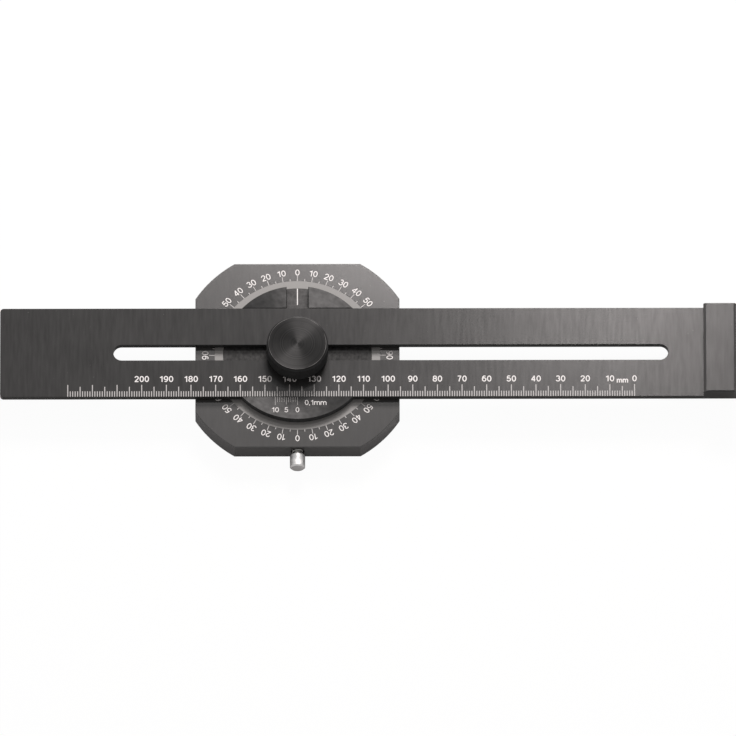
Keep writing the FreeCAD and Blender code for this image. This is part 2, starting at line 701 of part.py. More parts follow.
def make_wave_washer():
    """A strip ring pressed into waves: ruled faces between four wavy edges."""
    inner = size("wave_inner")
    outer = size("wave_outer")
    thickness = size("wave_thickness")
    waves = size("wave_count")
    swing = (size("wave_height") - thickness) / 2
    low = size("stud_head_top") + swing
    rims = [
        wave_curve(radius, level, swing, waves)
        for radius, level in ((inner, low), (outer, low), (outer, low + thickness), (inner, low + thickness))
    ]
    faces = [Part.makeRuledSurface(a, b) for a, b in zip(rims, rims[1:] + rims[:1])]
    shell = Part.makeShell(faces)
    shell.sewShape()
    solid = Part.makeSolid(shell)
    if solid.Volume < 0:
        solid.reverse()
    feature = document.addObject("Part::Feature", "wave_washer")
    feature.Label = "wave_washer"
    feature.Shape = solid
    feature.Placement = FreeCAD.Placement()
    return feature


def make_slot_sleeve():
    return turned_upright("slot_sleeve", [
        ("sleeve_bore", "channel_floor"),
        ("sleeve_radius", "channel_floor"),
        ("sleeve_radius", "sleeve_top"),
        ("sleeve_bore", "sleeve_top"),
    ])


def countersunk_hole(body, name):
    """The screw's hole on the front side: countersunk in the beam and threaded in the block."""
    return turn(body, name, "Groove", "XZ_Plane", [
        ("0", "beam_low"),
        ("sink_radius", "beam_low"),
        ("screw_hole_radius", "sink_neck"),
        ("screw_hole_radius", "screw_hole_end"),
        ("0", "screw_hole_end"),
    ], "V_Axis", {"x": "fastener_line", "z": "screw_side"})


def dowel_hole(body, name):
    return turn(body, name, "Groove", "XZ_Plane", [
        ("0", "beam_low"),
        ("dowel_radius", "beam_low"),
        ("dowel_radius", "dowel_hole_end"),
        ("0", "dowel_hole_end"),
    ], "V_Axis", {"x": "fastener_line", "z": "dowel_side"})


def make_beam():
    body = new_body("beam")
    outline = new_sketch(body, "beam_outline", "XY_Plane", {"z": "beam_low"})
    draw_outline(outline, [
        ("beam_left", "-half_beam"),
        ("marking_end", "-half_beam"),
        ("marking_end", "half_beam"),
        ("beam_left", "half_beam"),
    ])
    blank = pad(body, "beam_blank", outline, "beam_thickness")
    document.recompute()
    corners = [
        f"Edge{number}" for number, edge in enumerate(blank.Shape.Edges, 1)
        if edge.BoundBox.ZLength > 1 and edge.BoundBox.XMax < 0
    ]
    rounded = body.newObject("PartDesign::Fillet", "beam_corners")
    rounded.Base = (blank, corners)
    rounded.setExpression("Radius", link("beam_corner"))
    body.Tip = rounded
    slot = new_sketch(body, "slot_outline", "XY_Plane", {"z": "beam_low"})
    draw_slot(slot, "slot_left_centre", "slot_right_centre", "slot_radius")
    slotted = pocket_up(body, "beam_slot", slot)
    break_edges(body, "beam_edges", slotted, "edge_break", lambda edge: edge.BoundBox.ZLength < 1e-6)
    holes = [countersunk_hole(body, "screw_hole"), dowel_hole(body, "dowel_hole")]
    mirror_to_back(body, "back_holes", holes)
    return body


def make_end_block():
    body = new_body("end_block")
    outline = new_sketch(body, "block_outline", "XZ_Plane")
    draw_outline(outline, [
        ("block_left", "beam_top"),
        ("marking_end", "beam_top"),
        ("marking_end", "block_lead_level"),
        ("block_lead_right", "block_top"),
        ("block_lead_left", "block_top"),
        ("block_left", "block_lead_level"),
    ])
    blank = pad(body, "block_blank", outline, "beam_width", midplane=True)

    def is_side_edge(edge):
        return at_level(edge, size("block_top")) and edge.BoundBox.XLength > 1

    break_edges(body, "block_edges", blank, "block_side_edge", is_side_edge)
    holes = [countersunk_hole(body, "screw_hole"), dowel_hole(body, "dowel_hole")]
    mirror_to_back(body, "back_holes", holes)
    return body


def make_end_block_screws():
    body = new_body("end_block_screws")
    body.AllowCompound = True
    shift = {"x": "fastener_line", "z": "screw_side"}
    screw = turn(body, "screw", "Revolution", "XZ_Plane", [
        ("0", "screw_low"),
        ("screw_head_radius", "screw_low"),
        ("screw_radius", "screw_neck"),
        ("screw_radius", "screw_tip_level"),
        ("screw_tip_radius", "screw_end"),
        ("0", "screw_end"),
    ], "V_Axis", shift)
    slot = new_sketch(body, "driver_slot_outline", "XZ_Plane", shift)
    draw_outline(slot, [
        ("-half_screw_slot", "screw_low"),
        ("half_screw_slot", "screw_low"),
        ("half_screw_slot", "screw_slot_top"),
        ("-half_screw_slot", "screw_slot_top"),
    ])
    driver_slot = body.newObject("PartDesign::Pocket", "driver_slot")
    driver_slot.Profile = slot
    driver_slot.Midplane = True
    driver_slot.setExpression("Length", link("screw_head"))
    body.Tip = driver_slot
    mirror_to_back(body, "back_screw", [screw, driver_slot])
    return body


def make_end_block_dowels():
    body = new_body("end_block_dowels")
    body.AllowCompound = True
    dowel = turn(body, "dowel", "Revolution", "XZ_Plane", [
        ("0", "dowel_low"),
        ("dowel_edge_radius", "dowel_low"),
        ("dowel_radius", "dowel_low_edge"),
        ("dowel_radius", "dowel_end_edge"),
        ("dowel_edge_radius", "dowel_end"),
        ("0", "dowel_end"),
    ], "V_Axis", {"x": "fastener_line", "z": "dowel_side"})
    mirror_to_back(body, "back_dowel", [dowel])
    return body


def make_knob_washer():
    return turned_upright("knob_washer", [
        ("washer_step_radius", "washer_low"),
        ("washer_radius", "washer_low"),
        ("washer_radius", "washer_top"),
        ("washer_bore", "washer_top"),
        ("washer_bore", "washer_step_level"),
        ("washer_step_radius", "washer_step_level"),
    ])


def make_knob_insert():
    return turned_upright("knob_insert", [
        ("insert_bore", "insert_low"),
        ("insert_lip_radius", "insert_low"),
        ("insert_lip_radius", "insert_lip_top"),
        ("insert_neck_radius", "insert_lip_top"),
        ("insert_neck_radius", "insert_seat"),
        ("insert_radius", "insert_seat"),
        ("insert_radius", "insert_top"),
        ("insert_bore", "insert_top"),
    ])


def make_clamp_knob():
    return turned_upright("clamp_knob", [
        ("insert_radius", "insert_seat"),
        ("knob_pocket_radius", "insert_seat"),
        ("knob_pocket_radius", "knob_low"),
        ("knob_low_edge_radius", "knob_low"),
        ("knob_radius", "knob_low_edge_level"),
        ("knob_radius", "knob_top_edge_level"),
        ("knob_top_edge_radius", "knob_top"),
        ("0", "knob_top"),
        ("0", "insert_top"),
        ("insert_radius", "insert_top"),
    ])


def make_index_bush():
    inner, outer = in_front("bush_inner", "bush_outer")
    return turned_along_pin("index_bush", [
        (outer, "bush_bore"),
        (outer, "index_hole_radius"),
        (inner, "index_hole_radius"),
        (inner, "bush_bore"),
    ])


def make_index_pin():
    tip, tip_edge, collar_inner, collar_outer, end = in_front(
        "nose_tip", "nose_edge_end", "collar_inner", "collar_outer", "pin_end")
    return turned_along_pin("index_pin", [
        (tip, "0"),
        (tip, "nose_edge_radius"),
        (tip_edge, "nose_radius"),
        (collar_inner, "nose_radius"),
        (collar_inner, "collar_radius"),
        (collar_outer, "collar_radius"),
        (collar_outer, "shaft_radius"),
        (end, "shaft_radius"),
        (end, "0"),
    ])


def make_index_button():
    inner, inner_edge, pocket, pin_end, outer_edge, outer = in_front(
        "button_inner", "button_inner_end", "button_pocket_end", "pin_end", "button_edge_end",
        "button_outer")
    return turned_along_pin("index_button", [
        (inner, "button_pocket_radius"),
        (inner, "button_inner_radius"),
        (inner_edge, "button_radius"),
        (outer_edge, "button_radius"),
        (outer, "button_edge_radius"),
        (outer, "0"),
        (pin_end, "0"),
        (pin_end, "shaft_radius"),
        (pocket, "shaft_radius"),
        (pocket, "button_pocket_radius"),
    ])


def make_index_spring():
    """The wire's section, carried along a helix about the index pin's axis."""
    body = new_body("index_spring")
    section = new_sketch(body, "wire_section", "YZ_Plane", {"y": "pin_level"})
    draw_octagon(section, "wire_radius", "-spring_first", "spring_radius")
    coil = body.newObject("PartDesign::AdditiveHelix", "coil")
    coil.Profile = section
    coil.ReferenceAxis = (section, ["H_Axis"])
    coil.Mode = "height-turns-growth"
    coil.setExpression("Height", link("spring_span"))
    coil.setExpression("Turns", link("spring_turns"))
    coil.Reversed = True
    body.Tip = coil
    return body


def check_and_write(parts):
    """Stop at any object that failed or any piece that isn't sound, then write one file per piece."""
    document.recompute()
    for item in document.Objects:
        if {"Invalid", "Error"} & set(item.State):
            raise RuntimeError(f"{item.Name} failed: {item.State}")
    os.makedirs("parts", exist_ok=True)
    for piece in parts:
        shape = piece.Shape
        if shape.isNull() or not shape.isValid() or not shape.Solids:
            raise RuntimeError(piece.Label + " has no sound shape")
    for piece in parts:
        piece.Shape.exportStep(f"parts/{piece.Label}.step")
        box = piece.Shape.BoundBox
        print(f"{piece.Label}: {len(piece.Shape.Solids)} solid, {piece.Shape.Volume:.1f} mm3,"
              f" x {box.XMin:.2f} {box.XMax:.2f}, y {box.YMin:.2f} {box.YMax:.2f},"
              f" z {box.ZMin:.2f} {box.ZMax:.2f}")


fill_sheet()
check_and_write([
    make_stop_plate(),
    make_bearing_ring(),
    make_friction_ring("upper_friction_ring", "upper_friction_outer", "ledge_top", "upper_friction_top"),
    make_friction_ring("lower_friction_ring", "lower_friction_outer", "lower_friction_low", "recess_depth"),
    make_swivel_disc(),
    make_clamp_stud(),
    make_clamp_plate(),
    make_wave_washer(),
    make_slot_sleeve(),
    make_beam(),
    make_end_block(),
    make_end_block_screws(),
    make_end_block_dowels(),
    make_knob_washer(),
    make_knob_insert(),
    make_clamp_knob(),
    make_index_bush(),
    make_index_pin(),
    make_index_button(),
    make_index_spring(),
])
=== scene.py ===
"""Looks of the angle marking gauge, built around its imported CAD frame.

Sizes are written in millimetres and turned into metres by MM. The frame's origin is on the swivel
axis at the stop plate's underside, +X runs along the beam to its marking end and +Z is up.
"""

import math

import bpy
from mathutils import Euler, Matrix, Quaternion, Vector


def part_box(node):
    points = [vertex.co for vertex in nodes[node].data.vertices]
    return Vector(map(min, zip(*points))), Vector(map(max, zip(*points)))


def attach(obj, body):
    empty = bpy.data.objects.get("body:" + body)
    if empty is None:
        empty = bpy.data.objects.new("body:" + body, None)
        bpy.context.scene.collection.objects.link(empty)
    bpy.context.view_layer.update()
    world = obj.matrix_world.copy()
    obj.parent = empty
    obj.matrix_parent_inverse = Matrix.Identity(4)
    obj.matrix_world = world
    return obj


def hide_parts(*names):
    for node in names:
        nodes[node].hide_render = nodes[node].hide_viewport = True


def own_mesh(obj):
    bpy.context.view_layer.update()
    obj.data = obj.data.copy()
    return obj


MM = 0.001
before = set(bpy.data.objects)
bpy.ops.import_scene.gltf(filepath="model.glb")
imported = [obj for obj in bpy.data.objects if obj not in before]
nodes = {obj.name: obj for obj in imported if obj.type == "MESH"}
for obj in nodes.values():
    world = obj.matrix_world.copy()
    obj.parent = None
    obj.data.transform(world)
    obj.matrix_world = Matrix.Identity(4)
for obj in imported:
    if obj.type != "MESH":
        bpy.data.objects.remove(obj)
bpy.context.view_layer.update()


# Camera, as fitted to the photograph

IMAGE_SIDE = 736
SENSOR_WIDTH = 36.0
CAMERA_ELEVATION = 63.95
CAMERA_DISTANCE = 14.0
CAMERA_ROLL = -0.087
CLIP_START = 0.1
CLIP_END = 30
CAMERA_AIM = Vector((28.64 * MM, -7.085 * MM, 11.65 * MM))
FOCAL_PIXELS = 2463.6 * CAMERA_DISTANCE


def add_camera():
    camera = bpy.data.cameras.new("camera")
    camera.sensor_width = SENSOR_WIDTH
    camera.lens = FOCAL_PIXELS / IMAGE_SIDE * SENSOR_WIDTH
    camera.clip_start = CLIP_START
    camera.clip_end = CLIP_END
    view = bpy.data.objects.new("camera", camera)
    elevation = math.radians(CAMERA_ELEVATION)
    back = Vector((0, -math.cos(elevation), math.sin(elevation)))
    view.location = CAMERA_AIM + back * CAMERA_DISTANCE
    tilt = Euler((math.pi / 2 - elevation, 0, 0)).to_quaternion()
    view.rotation_mode = "QUATERNION"
    view.rotation_quaternion = tilt @ Quaternion((0, 0, 1), math.radians(CAMERA_ROLL))
    bpy.context.scene.collection.objects.link(view)
    bpy.context.scene.camera = view


# Light: places, sizes and powers come from a fit to tones measured in the photograph

KEY_PLACE = Vector((0.142, 0.474, 0.836))
KEY_SIZE = (0.093, 0.06)
KEY_POWER = 1.15
REAR_PLACE = Vector((0.110, 0.730, 0.565))
REAR_SIZE = (0.408, 0.249)
REAR_POWER = 13.7
WORLD_FILL = 0.30
LIGHT_COLOUR = (1.06, 1.0, 0.985)
FLOOR_SIDE = 8.0
FLOOR_DROP = 0.3 * MM
FLOOR_COLOUR = 0.86
WHITE_TO_CAMERA = 0.965
WHITE_TO_GLOSS = 0.12


def add_lamp(name, place, size, power):
    light = bpy.data.lights.new(name, "AREA")
    light.shape = "RECTANGLE"
    light.size, light.size_y = size
    light.energy = power
    light.color = LIGHT_COLOUR
    lamp = bpy.data.objects.new(name, light)
    lamp.location = place
    lamp.rotation_mode = "QUATERNION"
    lamp.rotation_quaternion = (-place).to_track_quat("-Z", "Y")
    bpy.context.scene.collection.objects.link(lamp)


def combine(tree, operation, first, second):
    """A maths node on two inputs, each a socket or a number."""
    node = tree.nodes.new("ShaderNodeMath")
    node.operation = operation
    for place, value in enumerate((first, second)):
        if isinstance(value, bpy.types.NodeSocket):
            tree.links.new(value, node.inputs[place])
        else:
            node.inputs[place].default_value = value
    return node.outputs[0]


def seen_as_backdrop(tree, camera_share=1.0, gloss_share=1.0):
    """How far a ray shows plain backdrop: from the camera, and off gloss or through glass."""
    rays = tree.nodes.new("ShaderNodeLightPath")
    glossy = rays.outputs["Is Glossy Ray"]
    through = rays.outputs["Is Transmission Ray"]
    gloss = combine(tree, "MAXIMUM", glossy, through)
    direct = combine(tree, "MULTIPLY", rays.outputs["Is Camera Ray"], camera_share)
    return combine(tree, "MAXIMUM", direct, combine(tree, "MULTIPLY", gloss, gloss_share))


def add_world():
    world = bpy.data.worlds.new("studio")
    world.use_nodes = True
    tree = world.node_tree
    backdrop = tree.nodes["Background"]
    backdrop.inputs["Color"].default_value = (1, 1, 1, 1)
    fill = tree.nodes.new("ShaderNodeBackground")
    fill.inputs["Color"].default_value = (*LIGHT_COLOUR, 1)
    fill.inputs["Strength"].default_value = WORLD_FILL
    choose = tree.nodes.new("ShaderNodeMixShader")
    tree.links.new(seen_as_backdrop(tree), choose.inputs[0])
    tree.links.new(fill.outputs[0], choose.inputs[1])
    tree.links.new(backdrop.outputs[0], choose.inputs[2])
    tree.links.new(choose.outputs[0], tree.nodes["World Output"].inputs["Surface"])
    bpy.context.scene.world = world


def add_floor():
    """A pale floor just under the gauge that shows as white and keeps a faint shadow."""
    half = FLOOR_SIDE / 2
    corners = [(-half, -half, 0), (half, -half, 0), (half, half, 0), (-half, half, 0)]
    mesh = bpy.data.meshes.new("floor")
    mesh.from_pydata(corners, [], [(0, 1, 2, 3)])
    floor = bpy.data.objects.new("floor", mesh)
    floor.location.z = -FLOOR_DROP
    bpy.context.scene.collection.objects.link(floor)
    paint = bpy.data.materials.new("floor")
    paint.use_nodes = True
    tree = paint.node_tree
    tree.nodes.clear()
    white = tree.nodes.new("ShaderNodeEmission")
    matte = tree.nodes.new("ShaderNodeBsdfDiffuse")
    matte.inputs["Color"].default_value = (FLOOR_COLOUR, FLOOR_COLOUR, FLOOR_COLOUR, 1)
    mixed = tree.nodes.new("ShaderNodeMixShader")
    tree.links.new(seen_as_backdrop(tree, WHITE_TO_CAMERA, WHITE_TO_GLOSS), mixed.inputs[0])
    tree.links.new(matte.outputs[0], mixed.inputs[1])
    tree.links.new(white.outputs[0], mixed.inputs[2])
    output = tree.nodes.new("ShaderNodeOutputMaterial")
    tree.links.new(mixed.outputs[0], output.inputs["Surface"])
    mesh.materials.append(paint)


# Materials

QUARTER_TURN = 0.25
RING_DETAIL = 3.0
LEANING = 0.7
LEANING_REACH = 0.2


class Paint:
    """A procedural material on one Principled shader, with the few nodes that the gauge needs."""

    def __init__(self, name, roughness, metallic=0.0, specular=0.5):
        self.material = bpy.data.materials.new(name)
        self.material.use_nodes = True
        self.tree = self.material.node_tree
        self.shader = self.tree.nodes["Principled BSDF"]
        self.shader.inputs["Roughness"].default_value = roughness
        self.shader.inputs["Metallic"].default_value = metallic
        self.shader.inputs["Specular IOR Level"].default_value = specular
        self.coordinates = self.tree.nodes.new("ShaderNodeTexCoord")

    def link(self, source, target):
        self.tree.links.new(source, target)

    def noise(self, scale, detail):
        """Noise over the object, with one scale or one for each axis, in cycles per metre."""
        stretch = self.tree.nodes.new("ShaderNodeMapping")
        even = isinstance(scale, float)
        stretch.inputs["Scale"].default_value = (scale, scale, scale) if even else scale
        self.link(self.coordinates.outputs["Object"], stretch.inputs["Vector"])
        texture = self.tree.nodes.new("ShaderNodeTexNoise")
        texture.inputs["Scale"].default_value = 1.0
        texture.inputs["Detail"].default_value = detail
        self.link(stretch.outputs["Vector"], texture.inputs["Vector"])
        return texture.outputs["Fac"]

    def upward(self, output):
        """The Z part of the object's own coordinates or of its normals."""
        split = self.tree.nodes.new("ShaderNodeSeparateXYZ")
        self.link(self.coordinates.outputs[output], split.inputs[0])
        return split.outputs["Z"]

    def radius(self):
        """Distance from the swivel axis."""
        flat = self.tree.nodes.new("ShaderNodeVectorMath")
        flat.operation = "MULTIPLY"
        flat.inputs[1].default_value = (1, 1, 0)
        self.link(self.coordinates.outputs["Object"], flat.inputs[0])
        reach = self.tree.nodes.new("ShaderNodeVectorMath")
        reach.operation = "LENGTH"
        self.link(flat.outputs[0], reach.inputs[0])
        return reach.outputs["Value"]

    def rings(self, pitch):
        """Noise that depends on the distance from the swivel axis alone, like marks of turning."""
        texture = self.tree.nodes.new("ShaderNodeTexNoise")
        texture.noise_dimensions = "1D"
        texture.inputs["Scale"].default_value = 1 / pitch
        texture.inputs["Detail"].default_value = RING_DETAIL
        self.link(self.radius(), texture.inputs["W"])
        return texture.outputs["Fac"]

    def spread(self, source, low, high, centre=0.5, reach=0.25):
        """Map the middle of a noise onto the range from low to high."""
        limits = self.tree.nodes.new("ShaderNodeMapRange")
        limits.inputs["From Min"].default_value = centre - reach
        limits.inputs["From Max"].default_value = centre + reach
        limits.inputs["To Min"].default_value = low
        limits.inputs["To Max"].default_value = high
        self.link(source, limits.inputs["Value"])
        return limits.outputs["Result"]

    def mix(self, share, first, second):
        """Mix two colours, each a plain colour or a socket."""
        node = self.tree.nodes.new("ShaderNodeMix")
        node.data_type = "RGBA"
        self.link(share, node.inputs["Factor"])
        for name, colour in (("A", first), ("B", second)):
            socket = next(s for s in node.inputs if s.name == name and s.type == "RGBA")
            if isinstance(colour, bpy.types.NodeSocket):
                self.link(colour, socket)
            else:
                socket.default_value = (*colour, 1)
        return next(s for s in node.outputs if s.type == "RGBA")

    def chamfer_mask(self):
        """1 on faces that lean, which are the broken edges, and 0 on level and upright ones."""
        size = combine(self.tree, "ABSOLUTE", self.upward("Normal"), 0)
        apart = self.tree.nodes.new("ShaderNodeMath")
        apart.operation = "COMPARE"
        apart.inputs[1].default_value = LEANING
        apart.inputs[2].default_value = LEANING_REACH
        self.link(size, apart.inputs[0])
        return apart.outputs[0]

    def colour(self, socket):
        self.link(socket, self.shader.inputs["Base Color"])

    def rough(self, socket):
        self.link(socket, self.shader.inputs["Roughness"])

    def gloss(self, socket):
        self.link(socket, self.shader.inputs["Specular IOR Level"])

    def bump(self, height, strength, distance):
        node = self.tree.nodes.new("ShaderNodeBump")
        node.inputs["Strength"].default_value = strength
        node.inputs["Distance"].default_value = distance
        self.link(height, node.inputs["Height"])
        self.link(node.outputs["Normal"], self.shader.inputs["Normal"])

    def brush(self, direction, amount):
        """Stretch the gloss along a direction, or as turning does where that is None."""
        self.shader.inputs["Anisotropic"].default_value = amount
        if direction is None:
            along = self.tree.nodes.new("ShaderNodeTangent")
            along.direction_type = "RADIAL"
            along.axis = "Z"
            self.link(along.outputs["Tangent"], self.shader.inputs["Tangent"])
            self.shader.inputs["Anisotropic Rotation"].default_value = QUARTER_TURN
            return
        along = self.tree.nodes.new("ShaderNodeVectorTransform")
        along.vector_type = "VECTOR"
        along.convert_from = "OBJECT"
        along.convert_to = "WORLD"
        along.inputs["Vector"].default_value = direction
        self.link(along.outputs["Vector"], self.shader.inputs["Tangent"])


WARMTH = 0.01
SPECKS = 5200.0
GRIT_DEPTH = 0.02 * MM


def grey(level):
    return (level * (1 + WARMTH), level, level * (1 - WARMTH))


def around(value, share):
    """A range round a value, by a share of it each way."""
    return value * (1 - share), value * (1 + share)


# Scales of noise are in cycles per metre. A tone, swing or gloss here is a share of the finish's
# own value, and a grey is a level of its own.

FINE_STREAKS = 1000.0
LONG_STREAKS = 110.0
CLOUDS = 55.0
CLOUD_SHARE = 0.35
CLOUD_TONE = 1.5
DUST = 1500.0
DUST_CENTRE = 0.91
DUST_REACH = 0.03
DUST_TONE = 3
EDGE_TONE = 1.6
ANODISED_SWING = 0.05
ANODISED_GRIT = 0.05


def anodised(name, level, specular, roughness, grain, stretch, amount, unevenness):
    """Black anodised aluminium with faint streaks along its grain, clouds, dust and paler edges."""
    paint = Paint(name, roughness, specular=specular)
    streaks = paint.noise(tuple(LONG_STREAKS if axis else FINE_STREAKS for axis in grain), 3.0)
    clouds = paint.noise(CLOUDS, 3.0)
    specks = paint.noise(SPECKS, 1.0)
    dust = paint.noise(DUST, 0.0)
    dark, pale = around(level, unevenness)
    body = paint.mix(paint.spread(streaks, 0, 1), grey(dark), grey(pale))
    cloudy = paint.mix(paint.spread(clouds, 0, CLOUD_SHARE), body, grey(level * CLOUD_TONE))
    grains = paint.spread(dust, 0, 1, centre=DUST_CENTRE, reach=DUST_REACH)
    dusty = paint.mix(grains, cloudy, grey(level * DUST_TONE))
    paint.colour(paint.mix(paint.chamfer_mask(), dusty, grey(level * EDGE_TONE)))
    paint.rough(paint.spread(clouds, *around(roughness, ANODISED_SWING)))
    paint.gloss(paint.spread(streaks, *around(specular, unevenness)))
    paint.bump(specks, ANODISED_GRIT, GRIT_DEPTH)
    paint.brush(stretch, amount)
    return paint.material


PATCHES = 120.0
TURNING_SWING = 0.4
TURNING_GLOSS = 0.25
PATCH_GLOSS = 0.3
PATCH_ROUGHNESS = 0.1
TURNED_GRIT = 0.06
# The knob's rim radius, and the width and grey of the painted highlight in pale patches along it
KNOB_RIM = 11.66 * MM
RIM_HIGHLIGHT_WIDTH = 0.08 * MM
RIM_REACH = 0.15
RIM_HIGHLIGHT_GREY = 0.22


def turned_black(name, level, specular, roughness, amount, pitch, rim):
    """Black anodised aluminium from the lathe: fine rings and a pale painted highlight on the rim.
    """
    paint = Paint(name, roughness, specular=specular)
    rings = paint.rings(pitch)
    specks = paint.noise(SPECKS, 1.0)
    patches = paint.noise(PATCHES, 2.0)
    dark, pale = around(level, TURNING_SWING)
    body = paint.mix(paint.spread(rings, 0, 1), grey(dark), grey(pale))
    # Painted highlight: pale grey patches in a thin band at the rim's radius stand in for the lamp's
    # gloss on the rim
    near_rim = combine(paint.tree, "SUBTRACT", paint.radius(), rim)
    off_rim = combine(paint.tree, "ABSOLUTE", near_rim, 0)
    on_rim = combine(paint.tree, "LESS_THAN", off_rim, RIM_HIGHLIGHT_WIDTH)
    rim_highlight = combine(paint.tree, "MULTIPLY", on_rim, paint.spread(patches, 0, 1, reach=RIM_REACH))
    paint.colour(paint.mix(rim_highlight, body, grey(RIM_HIGHLIGHT_GREY)))
    paint.rough(paint.spread(patches, *around(roughness, PATCH_ROUGHNESS)))
    ring_gloss = paint.spread(rings, *around(1, TURNING_GLOSS))
    patch_gloss = paint.spread(patches, *around(1, PATCH_GLOSS))
    uneven = combine(paint.tree, "MULTIPLY", ring_gloss, patch_gloss)
    paint.gloss(combine(paint.tree, "MULTIPLY", uneven, specular))
    paint.bump(specks, TURNED_GRIT, GRIT_DEPTH)
    paint.brush(None, amount)
    return paint.material


SATIN = 420.0
SATIN_SWING = 0.2
SATIN_GLOSS = 0.3
MOTTLE = (950.0, 700.0, 900.0)
MOTTLE_BUMP = 0.10
MOTTLE_DEPTH = 0.03 * MM
DISC_RINGS = 0.5 * MM
DISC_ROUGHNESS = 0.04
MILLED_DARK_GREY = 0.010
MILLED_PALE_GREY = 0.050
MILLED_GLOSS = 0.6
MILLED_MARGIN = 1 * MM


def milled_disc(name, level, specular, roughness, amount):
    """The swivel disc: a satin top over mottled milled floors, which have less gloss."""
    paint = Paint(name, roughness, specular=specular)
    satin = paint.noise(SATIN, 5.0)
    mottle = paint.noise(MOTTLE, 4.0)
    rings = paint.rings(DISC_RINGS)
    dark, pale = around(level, SATIN_SWING)
    top = paint.mix(paint.spread(satin, 0, 1), grey(dark), grey(pale))
    floor = paint.mix(paint.spread(mottle, 0, 1), grey(MILLED_DARK_GREY), grey(MILLED_PALE_GREY))
    highest_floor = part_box("stop_plate")[1].z + MILLED_MARGIN
    above = combine(paint.tree, "GREATER_THAN", paint.upward("Object"), highest_floor)
    paint.colour(paint.mix(above, floor, top))
    paint.rough(paint.spread(rings, roughness - DISC_ROUGHNESS, roughness + DISC_ROUGHNESS))
    uneven = paint.spread(satin, *around(specular, SATIN_GLOSS))
    top_extra = combine(paint.tree, "MULTIPLY", above, 1 - MILLED_GLOSS)
    share = combine(paint.tree, "ADD", top_extra, MILLED_GLOSS)
    paint.gloss(combine(paint.tree, "MULTIPLY", uneven, share))
    paint.bump(mottle, MOTTLE_BUMP, MOTTLE_DEPTH)
    paint.brush(None, amount)
    return paint.material


METAL_MARKS = 900.0
METAL_DARK = 0.88
METAL_SMOOTH = 0.85
METAL_COARSE = 1.2
METAL_BUMP = 0.04
METAL_BRUSHING = 0.4
SHALLOW = 0.01 * MM


def metal(name, colour, roughness):
    """Bare turned metal, with a faint unevenness in tone and gloss."""
    paint = Paint(name, roughness, metallic=1.0)
    marks = paint.noise(METAL_MARKS, 3.0)
    darker = tuple(channel * METAL_DARK for channel in colour)
    paint.colour(paint.mix(paint.spread(marks, 0, 1), darker, colour))
    paint.rough(paint.spread(marks, roughness * METAL_SMOOTH, roughness * METAL_COARSE))
    paint.bump(marks, METAL_BUMP, SHALLOW)
    paint.brush(None, METAL_BRUSHING)
    return paint.material


PLASTIC_GRAIN = 1800.0
PLASTIC_DARK = 0.93
PLASTIC_BUMP = 0.08


def plastic(name, colour, roughness):
    paint = Paint(name, roughness)
    grain = paint.noise(PLASTIC_GRAIN, 2.0)
    darker = tuple(channel * PLASTIC_DARK for channel in colour)
    paint.colour(paint.mix(paint.spread(grain, 0, 1), darker, colour))
    paint.bump(grain, PLASTIC_BUMP, GRIT_DEPTH)
    return paint.material


MARK_GRAIN = 4000.0
MARK_DARK = 0.9
MARK_BUMP = 0.05
MARK_ROUGHNESS = 0.6
MARK_SPECULAR = 0.3
TICK_GREY = 0.42
NUMBER_GREY = 0.68


def mark_paint(name, level):
    """The pale, slightly uneven tone of a laser mark in black anodising."""
    paint = Paint(name, MARK_ROUGHNESS, specular=MARK_SPECULAR)
    grain = paint.noise(MARK_GRAIN, 2.0)
    paint.colour(paint.mix(paint.spread(grain, 0, 1), grey(level * MARK_DARK), grey(level)))
    paint.bump(grain, MARK_BUMP, SHALLOW)
    return paint.material


ALONG_X = (1, 0, 0)
ALONG_Y = (0, 1, 0)


def finish_nodes():
    """Give every carried-over CAD node its material."""
    steel = metal("ground_steel", (0.56, 0.55, 0.53), 0.32)
    brass = metal("turned_brass", (0.72, 0.55, 0.28), 0.30)
    white = plastic("sliding_plastic", (0.78, 0.77, 0.74), 0.45)
    bar = {
        "level": 0.021, "specular": 0.25, "roughness": 0.225,
        "grain": ALONG_Y, "stretch": ALONG_Y, "amount": 0.35,
    }
    finishes = {
        "stop_plate": anodised(
            "plate_black", level=0.045, specular=0.425, roughness=0.176,
            grain=ALONG_Y, stretch=ALONG_X, amount=0.868, unevenness=0.07),
        "beam": anodised("beam_black", unevenness=0.16, **bar),
        "end_block": anodised("block_black", unevenness=0.15, **bar),
        "swivel_disc": milled_disc(
            "disc_black", level=0.009, specular=0.34, roughness=0.46, amount=0.93),
        "clamp_knob": turned_black(
            "knob_black", level=0.008, specular=0.175, roughness=0.457, amount=0.94,
            pitch=0.45 * MM, rim=KNOB_RIM),
        "bearing_ring": plastic("grey_ring", (0.19, 0.188, 0.183), 0.55),
        "index_button": metal("satin_steel", (0.50, 0.495, 0.49), 0.44),
        "end_block_screws": metal("black_steel", (0.06, 0.06, 0.06), 0.35),
        "index_bush": brass,
        "knob_insert": brass,
        "upper_friction_ring": white,
        "lower_friction_ring": white,
        "slot_sleeve": white,
    }
    for name, node in nodes.items():
        node.data.materials.clear()
        node.data.materials.append(finishes.get(name, steel))


# Marks: each number and line is a thin pale inlay on the surface that carries it

INLAY_LIFT = 0.012 * MM
STROKE_STEP = 0.001 * MM
STROKE_LEVELS = 4
ARC_STEP = 15
SAME_POINT = 1e-6
MITRE_LIMIT = 0.5


def arc(cx, cy, rx, ry, start, end):
    """Points on an ellipse from one angle to another, in degrees."""
    count = max(2, round(abs(end - start) / ARC_STEP))
    turns = [math.radians(start + (end - start) * step / count) for step in range(count + 1)]
    return [(cx + rx * math.cos(turn), cy + ry * math.sin(turn)) for turn in turns]


# Each sign's width as a share of its height, and its centre lines in a box one wide and one high

